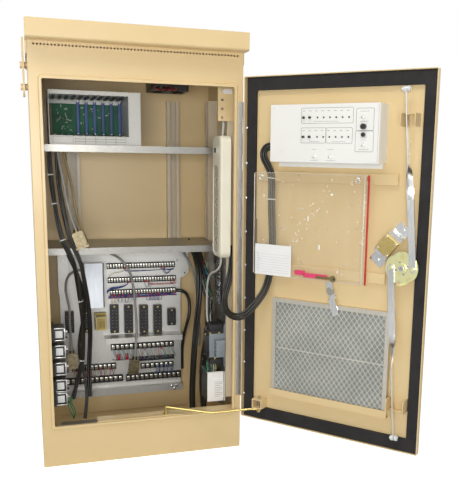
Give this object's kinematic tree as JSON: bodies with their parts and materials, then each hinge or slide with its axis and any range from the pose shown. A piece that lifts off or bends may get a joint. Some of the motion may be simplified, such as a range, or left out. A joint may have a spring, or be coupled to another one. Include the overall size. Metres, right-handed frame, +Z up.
{
  "type": "traffic signal controller cabinet",
  "caption": "Beige sheet-metal traffic signal controller cabinet with its door open, shelves, card rack, terminal panel, door switch box, air filter and three-point lock",
  "frame": {"origin": "centre of the base, where the anchor bolt pattern is centred, on the ground plane", "axes": "+Z up, the longest extent; the door opening faces -Y; the door's hinge is at +X"},
  "size_m": [1.0215, 0.8992, 1.28],
  "materials": {
    "beige_paint": "gloss",
    "white_paint": "satin",
    "aluminium": "brushed",
    "stainless": "satin",
    "zinc": "zinc",
    "yellow_zinc": "yellow zinc",
    "brass": "satin",
    "black_rubber": "matt",
    "grey_sheath": "matt",
    "black_plastic": "matt",
    "ivory_plastic": "satin",
    "dark_rocker": "gloss",
    "white_nylon": "matt",
    "chrome": "polished",
    "green_board": "satin",
    "clear_vinyl": "clear",
    "paper": "paper",
    "filter_pad": "coarse"
  },
  "bodies": {
    "cabinet": {"cabinet_wrap": "beige_paint", "door_frame": "beige_paint", "roof_hood": "beige_paint", "sill_plate": "beige_paint", "ceiling_plate": "beige_paint", "fan_frame": "black_plastic", "wall_channels": "beige_paint", "upper_shelf": "aluminium", "lower_shelf": "aluminium", "rack_case": "white_paint", "rack_card_guides": "ivory_plastic", "rack_backplane": "green_board", "door_switch_bracket": "beige_paint", "power_strip": "ivory_plastic", "main_panel": "aluminium", "load_switch_sockets": "black_plastic", "terminal_strips": "black_plastic", "wall_relays": "white_nylon", "surge_arrester": "black_plastic", "service_box": "black_plastic", "left_harness": "black_rubber", "grey_cables": "grey_sheath", "connector_hoods": "zinc", "right_harness": "black_rubber", "hinge_cabinet_leaf": "stainless", "lifting_ears": "zinc", "door_harness": "black_rubber"},
    "door": {"door_panel": "beige_paint", "door_hinge_leaf": "stainless", "door_gasket": "black_rubber", "door_rails": "beige_paint", "door_fittings": "stainless", "switch_box": "white_paint", "document_pouch": "clear_vinyl", "pouch_papers": "paper", "filter_frame": "aluminium", "filter_media": "filter_pad", "lock_bracket": "zinc", "lock_case": "brass", "rod_guides": "beige_paint"},
    "fan_rotor_body": {"fan_rotor": "black_plastic"},
    "door_switch_plunger_body": {"door_switch_plunger": "white_nylon"},
    "power_strip_rocker_body": {"power_strip_rocker": "dark_rocker"},
    "filter_clip_body": {"filter_clip": "zinc"},
    "stay_rod_body": {"stay_rod": "yellow_zinc"},
    "lock_bolt_body": {"lock_bolt": "brass"},
    "lock_cam_body": {"lock_cam": "yellow_zinc"},
    "upper_rod_body": {"upper_rod": "zinc"},
    "lower_rod_body": {"lower_rod": "zinc"},
    "upper_rollers_body": {"upper_rollers": "white_nylon"},
    "lower_rollers_body": {"lower_rollers": "white_nylon"},
    "police_door_body": {"police_door": "beige_paint"},
    "test_button_1_body": {"test_button_1": "black_plastic"},
    "toggle_1_body": {"toggle_1": "chrome"},
    "test_button_2_body": {"test_button_2": "black_plastic"},
    "toggle_2_body": {"toggle_2": "chrome"},
    "test_button_3_body": {"test_button_3": "black_plastic"},
    "toggle_3_body": {"toggle_3": "chrome"},
    "test_button_4_body": {"test_button_4": "black_plastic"},
    "toggle_4_body": {"toggle_4": "chrome"}
  },
  "joints": [
    {"name": "door_hinge", "type": "hinge", "parent": "cabinet", "child": "door", "pos_m": [0.305, -0.228, 0.632], "axis": [0, 0, 1], "range_deg": [-131, 0], "deforming": ["door_harness"]},
    {"name": "stay_pivot", "type": "hinge", "parent": "door", "child": "stay_rod_body", "pos_m": [0.34344, -0.29661, 0.15], "axis": [0, 0, 1], "range_deg": [0, 148]},
    {"name": "handle_turn", "type": "hinge", "parent": "door", "child": "lock_cam_body", "pos_m": [0.63501, -0.63278, 0.639], "axis": [-0.7547, -0.6561, 0], "range_deg": [0, 90]},
    {"name": "upper_rod_pin", "type": "hinge", "parent": "lock_cam_body", "child": "upper_rod_body", "pos_m": [0.65286, -0.65834, 0.639], "axis": [-0.7547, -0.6561, 0], "range_deg": [-94, 0]},
    {"name": "lower_rod_pin", "type": "hinge", "parent": "lock_cam_body", "child": "lower_rod_body", "pos_m": [0.61218, -0.61155, 0.639], "axis": [-0.7547, -0.6561, 0], "range_deg": [-94, 0]},
    {"name": "upper_roller_spin", "type": "hinge", "parent": "upper_rod_body", "child": "upper_rollers_body", "pos_m": [0.62345, -0.63091, 1.108], "axis": [0.6537, -0.752, 0.085], "continuous": true},
    {"name": "lower_roller_spin", "type": "hinge", "parent": "lower_rod_body", "child": "lower_rollers_body", "pos_m": [0.63263, -0.64148, 0.158], "axis": [-0.6542, 0.7526, -0.0746], "continuous": true},
    {"name": "lock_bolt_slide", "type": "slide", "parent": "door", "child": "lock_bolt_body", "axis": [0.512, -0.589, -0.6252], "range_m": [0, 0.01]},
    {"name": "filter_clip_turn", "type": "hinge", "parent": "door", "child": "filter_clip_body", "pos_m": [0.50349, -0.46091, 0.551], "axis": [-0.7547, -0.6561, 0], "range_deg": [-35, 70]},
    {"name": "door_switch_press", "type": "slide", "parent": "cabinet", "child": "door_switch_plunger_body", "axis": [0, 1, 0], "range_m": [0, 0.01], "stiffness_N_per_m": 200},
    {"name": "strip_rocker", "type": "hinge", "parent": "cabinet", "child": "power_strip_rocker_body", "pos_m": [0.243, -0.139, 0.946], "axis": [0, 0, 1], "range_deg": [0, 12]},
    {"name": "fan_spin", "type": "hinge", "parent": "cabinet", "child": "fan_rotor_body", "pos_m": [0.131, 0.084, 1.15], "axis": [0, 0, 1], "continuous": true},
    {"name": "police_door_hinge", "type": "hinge", "parent": "door", "child": "police_door_body", "pos_m": [0.40893, -0.3311, 0.995], "axis": [0, 0, 1], "range_deg": [0, 110]},
    {"name": "test_button_1_press", "type": "slide", "parent": "door", "child": "test_button_1_body", "axis": [0.7547, 0.6561, 0], "range_m": [0, 0.003], "stiffness_N_per_m": 300},
    {"name": "test_button_2_press", "type": "slide", "parent": "door", "child": "test_button_2_body", "axis": [0.7547, 0.6561, 0], "range_m": [0, 0.003], "stiffness_N_per_m": 300},
    {"name": "test_button_3_press", "type": "slide", "parent": "door", "child": "test_button_3_body", "axis": [0.7547, 0.6561, 0], "range_m": [0, 0.003], "stiffness_N_per_m": 300},
    {"name": "test_button_4_press", "type": "slide", "parent": "door", "child": "test_button_4_body", "axis": [0.7547, 0.6561, 0], "range_m": [0, 0.003], "stiffness_N_per_m": 300},
    {"name": "toggle_1_throw", "type": "hinge", "parent": "door", "child": "toggle_1_body", "pos_m": [0.44082, -0.46503, 0.934], "axis": [-0.6561, 0.7547, 0], "range_deg": [0, 28]},
    {"name": "toggle_2_throw", "type": "hinge", "parent": "door", "child": "toggle_2_body", "pos_m": [0.47297, -0.50201, 0.934], "axis": [-0.6561, 0.7547, 0], "range_deg": [0, 28]},
    {"name": "toggle_3_throw", "type": "hinge", "parent": "door", "child": "toggle_3_body", "pos_m": [0.53333, -0.57145, 1.039], "axis": [-0.6561, 0.7547, 0], "range_deg": [0, 28]},
    {"name": "toggle_4_throw", "type": "hinge", "parent": "door", "child": "toggle_4_body", "pos_m": [0.5353, -0.57371, 0.966], "axis": [-0.6561, 0.7547, 0], "range_deg": [0, 28]}
  ],
  "couplings": [
    {"joint": "stay_pivot", "follows": "door_hinge", "ratio": -1.1291},
    {"joint": "upper_rod_pin", "follows": "handle_turn", "ratio": -1.042},
    {"joint": "lower_rod_pin", "follows": "handle_turn", "ratio": -1.041}
  ]
}
